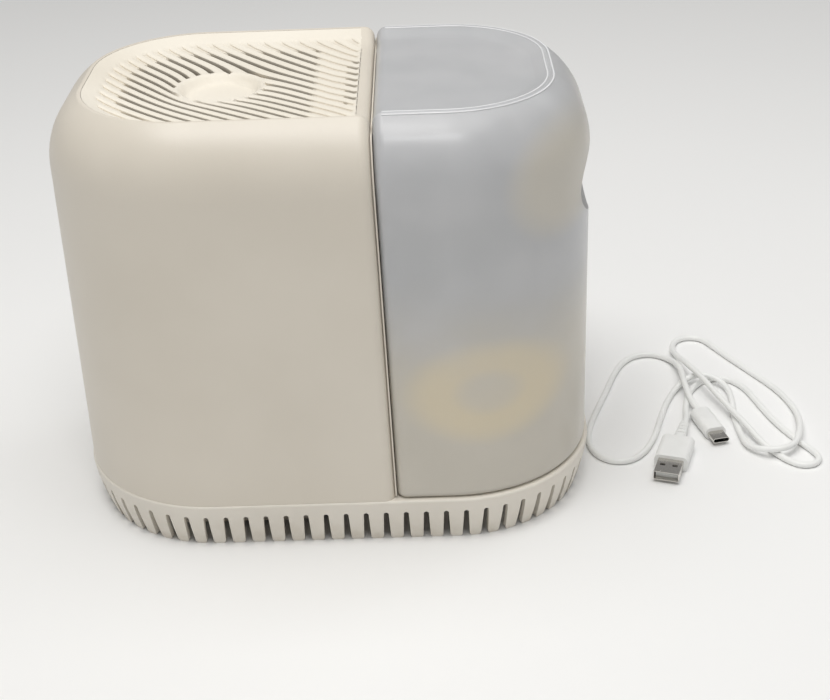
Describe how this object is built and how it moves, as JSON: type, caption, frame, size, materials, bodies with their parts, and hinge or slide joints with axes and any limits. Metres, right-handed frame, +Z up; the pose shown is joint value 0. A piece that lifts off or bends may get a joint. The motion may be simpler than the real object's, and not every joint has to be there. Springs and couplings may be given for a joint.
{
  "type": "cool mist humidifier",
  "caption": "Evaporative cool mist humidifier: rounded fan housing with a slotted top beside a frosted lift-off water tank, on a slotted base tray, with a loose charging cable.",
  "frame": {"origin": "centre of the base tray's underside, on the surface it stands on", "axes": "+Z up, +X from the fan housing towards the water tank, -Y the plain front, +Y the back with the controls"},
  "size_m": [0.3431, 0.1832, 0.1944],
  "materials": {
    "cream_shell": "fine matte moulding",
    "cream_grille": "fine matte moulding, slightly warmer",
    "frosted_tank": "frosted translucent polypropylene",
    "inner_plastic": "satin",
    "dark_plastic": "satin",
    "motor_steel": "satin",
    "steel": "bright",
    "nickel": "nickel plated",
    "board": "solder mask",
    "lens": "clear",
    "foot_rubber": "matte",
    "seal_rubber": "silicone",
    "float_foam": "foam",
    "wick": "pleated paper wick",
    "cable_white": "soft jacket",
    "plug_white": "satin"
  },
  "bodies": {
    "base": {"base_tray": "cream_shell", "rubber_feet": "foot_rubber", "valve_post": "cream_shell", "usb_cable": "cable_white", "usb_a_overmould": "plug_white", "usb_a_shell": "nickel", "usb_a_tongue": "plug_white", "usb_c_overmould": "plug_white", "usb_c_shell": "nickel", "usb_c_tongue": "dark_plastic"},
    "float": {"water_float": "float_foam"},
    "filter": {"wick_filter": "wick", "filter_frame": "inner_plastic"},
    "housing": {"housing_shell": "cream_shell", "top_grille": "cream_grille", "fan_deck": "inner_plastic", "fan_frame": "dark_plastic", "fan_motor": "motor_steel", "fan_screws": "steel", "control_board": "board", "board_screws": "steel", "usb_c_inlet": "nickel", "led_lens": "lens", "button_switch": "dark_plastic"},
    "impeller": {"fan_impeller": "dark_plastic", "fan_shaft": "steel"},
    "button": {"power_button": "cream_grille"},
    "tank": {"tank_shell": "frosted_tank"},
    "cap": {"tank_cap": "cream_shell", "cap_gasket": "seal_rubber"},
    "valve": {"valve_stem": "inner_plastic", "valve_seal": "seal_rubber", "valve_spring": "steel"}
  },
  "joints": [
    {"name": "housing_lift", "type": "slide", "parent": "base", "child": "housing", "axis": [-0.0222, 0, 0.9998], "range_m": [0, 0.17]},
    {"name": "filter_lift", "type": "slide", "parent": "base", "child": "filter", "axis": [0, 0, 1], "range_m": [0, 0.051]},
    {"name": "float_rise", "type": "slide", "parent": "base", "child": "float", "axis": [0, 0, 1], "range_m": [0, 0.006]},
    {"name": "tank_lift", "type": "slide", "parent": "base", "child": "tank", "axis": [0, 0, 1], "range_m": [0, 0.12]},
    {"name": "cap_turn", "type": "hinge", "parent": "tank", "child": "cap", "pos_m": [0.071, 0, 0.012], "axis": [0, 0, 1], "range_deg": [0, 90]},
    {"name": "valve_slide", "type": "slide", "parent": "cap", "child": "valve", "axis": [0, 0, 1], "range_m": [-0.003, 0], "deforming": ["valve_spring"]},
    {"name": "fan_spin", "type": "hinge", "parent": "housing", "child": "impeller", "pos_m": [-0.043, 0, 0.16], "axis": [0, 0, 1], "continuous": true},
    {"name": "button_press", "type": "slide", "parent": "housing", "child": "button", "axis": [0, -1, 0], "range_m": [0, 0.001], "stiffness_N_per_m": 400}
  ],
  "couplings": [
    {"joint": "filter_lift", "follows": "housing_lift", "ratio": 0.3},
    {"joint": "valve_slide", "follows": "tank_lift", "ratio": -0.025}
  ]
}
